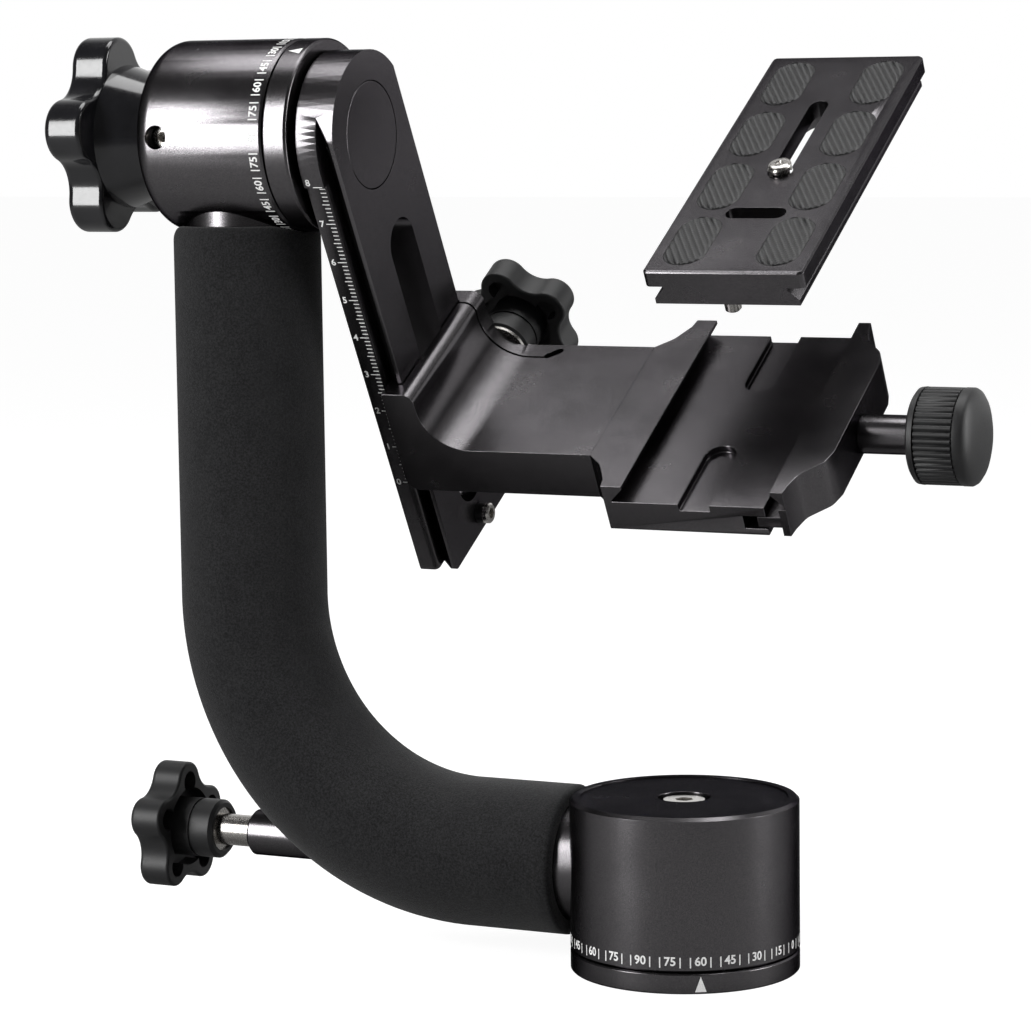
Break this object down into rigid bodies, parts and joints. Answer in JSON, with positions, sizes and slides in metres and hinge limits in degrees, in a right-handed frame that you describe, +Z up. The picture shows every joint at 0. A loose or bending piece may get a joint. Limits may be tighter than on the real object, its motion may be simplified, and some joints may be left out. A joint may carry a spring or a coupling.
{
  "type": "gimbal tripod head",
  "caption": "Gimbal tripod head: panning base, J-shaped foam-gripped arm, tilt bearing, swinging dovetail rail with a height platform, quick-release clamp, and its camera plate lifted off.",
  "frame": {"origin": "centre of the foot's bottom face, which meets the tripod, on the pan axis", "axes": "+Z up along the pan axis; the arm lies towards -X and the tilt axis is parallel to X; the side seen first in the picture is -Y"},
  "size_m": [0.222, 0.1487, 0.2254],
  "materials": {
    "anodised_black": "satin black anodised",
    "foam": "matte closed-cell foam",
    "knob_matte": "matte moulded nylon",
    "knob_gloss": "glossy moulded plastic",
    "steel": "bright turned steel",
    "aluminium": "plain turned aluminium",
    "brass": "turned brass",
    "nylon": "natural nylon",
    "rubber": "ribbed rubber"
  },
  "bodies": {
    "base": {"base_disc": "anodised_black", "base_disc_screws": "steel", "tripod_thread_insert": "steel", "pan_spindle": "steel", "spindle_washer": "steel", "spindle_bolt": "steel"},
    "arm": {"pan_drum": "anodised_black", "pan_drum_cap": "anodised_black", "pan_lower_bush": "brass", "pan_upper_bush": "brass", "arm_tube": "anodised_black", "foam_grip": "foam", "tilt_drum": "anodised_black", "drum_set_screw": "steel", "tilt_bush_left": "brass", "tilt_bush_right": "brass", "pan_lock_sleeve": "anodised_black"},
    "pan_brake": {"pan_brake_shoe": "nylon"},
    "pan_lock": {"pan_lock_rod": "steel", "pan_lock_knob": "knob_matte"},
    "rail": {"swing_rail": "anodised_black", "index_ring": "anodised_black", "index_spacer": "anodised_black", "tilt_friction_washer": "nylon", "tilt_spindle": "steel", "spindle_flange_screws": "steel", "rail_cap_disc": "anodised_black", "safety_stop_collar": "rubber", "safety_stop_screw": "steel"},
    "tilt_thrust": {"tilt_thrust_washer": "nylon"},
    "tilt_knob": {"tilt_lock_knob": "knob_gloss", "tilt_knob_insert": "brass"},
    "platform": {"platform_bracket": "anodised_black", "clamp_base": "anodised_black", "clamp_studs": "steel"},
    "height_thrust": {"rail_lock_washer": "steel"},
    "height_lock": {"rail_lock_knob": "knob_matte", "rail_lock_screw": "steel"},
    "jaw": {"clamp_jaw": "anodised_black"},
    "jaw_screw": {"clamp_knob": "anodised_black", "clamp_screw": "steel", "clamp_knob_sleeve": "anodised_black"},
    "plate": {"quick_plate": "anodised_black", "rubber_pads": "rubber", "plate_stop_pin": "steel"},
    "plate_slider": {"screw_retaining_washer": "nylon"},
    "camera_screw": {"camera_screw": "steel"}
  },
  "joints": [
    {"name": "pan_turn", "type": "hinge", "parent": "base", "child": "arm", "pos_m": [0, 0, 0.024], "axis": [0, 0, 1], "continuous": true},
    {"name": "pan_brake_slide", "type": "slide", "parent": "arm", "child": "pan_brake", "axis": [-1, 0, 0], "range_m": [0, 0.00125]},
    {"name": "pan_knob_turn", "type": "hinge", "parent": "pan_brake", "child": "pan_lock", "pos_m": [-0.1274, 0, 0.024], "axis": [-1, 0, 0], "range_deg": [0, 360]},
    {"name": "tilt_turn", "type": "hinge", "parent": "arm", "child": "rail", "pos_m": [-0.118, 0, 0.2005], "axis": [1, 0, 0], "continuous": true},
    {"name": "tilt_thrust_slide", "type": "slide", "parent": "rail", "child": "tilt_thrust", "axis": [-1, 0, 0], "range_m": [0, 0.0015]},
    {"name": "tilt_knob_turn", "type": "hinge", "parent": "tilt_thrust", "child": "tilt_knob", "pos_m": [-0.1385, 0, 0.2005], "axis": [-1, 0, 0], "range_deg": [0, 360]},
    {"name": "height_slide", "type": "slide", "parent": "rail", "child": "platform", "axis": [0, -0.5, 0.866], "range_m": [-0.0215, 0.058]},
    {"name": "height_thrust_slide", "type": "slide", "parent": "platform", "child": "height_thrust", "axis": [0, 0.866, 0.5], "range_m": [0, 0.001]},
    {"name": "height_knob_turn", "type": "hinge", "parent": "height_thrust", "child": "height_lock", "pos_m": [-0.0757, 0.06015, 0.14401], "axis": [0, 0.866, 0.5], "range_deg": [0, 360]},
    {"name": "jaw_slide", "type": "slide", "parent": "platform", "child": "jaw", "axis": [-1, 0, 0], "range_m": [0, 0.0018]},
    {"name": "jaw_knob_turn", "type": "hinge", "parent": "jaw", "child": "jaw_screw", "pos_m": [0.0447, 0.04283, 0.12631], "axis": [-1, 0, 0], "range_deg": [0, 648]},
    {"name": "plate_seat", "type": "slide", "parent": "platform", "child": "plate", "axis": [0, -0.5336, -0.8457], "range_m": [0, 0.06486]},
    {"name": "screw_slide", "type": "slide", "parent": "plate", "child": "plate_slider", "axis": [0, 0.866, 0.5], "range_m": [0, 0.0319]},
    {"name": "camera_screw_turn", "type": "hinge", "parent": "plate_slider", "child": "camera_screw", "pos_m": [0, 0.06618, 0.18987], "axis": [0, -0.5, 0.866], "continuous": true}
  ],
  "couplings": [
    {"joint": "pan_knob_turn", "follows": "pan_brake_slide", "rad_per_m": 5027.7},
    {"joint": "tilt_thrust_slide", "follows": "tilt_knob_turn", "m_per_rad": 0.0002387},
    {"joint": "height_knob_turn", "follows": "height_thrust_slide", "rad_per_m": 6283.4},
    {"joint": "jaw_knob_turn", "follows": "jaw_slide", "rad_per_m": 6283.4}
  ]
}
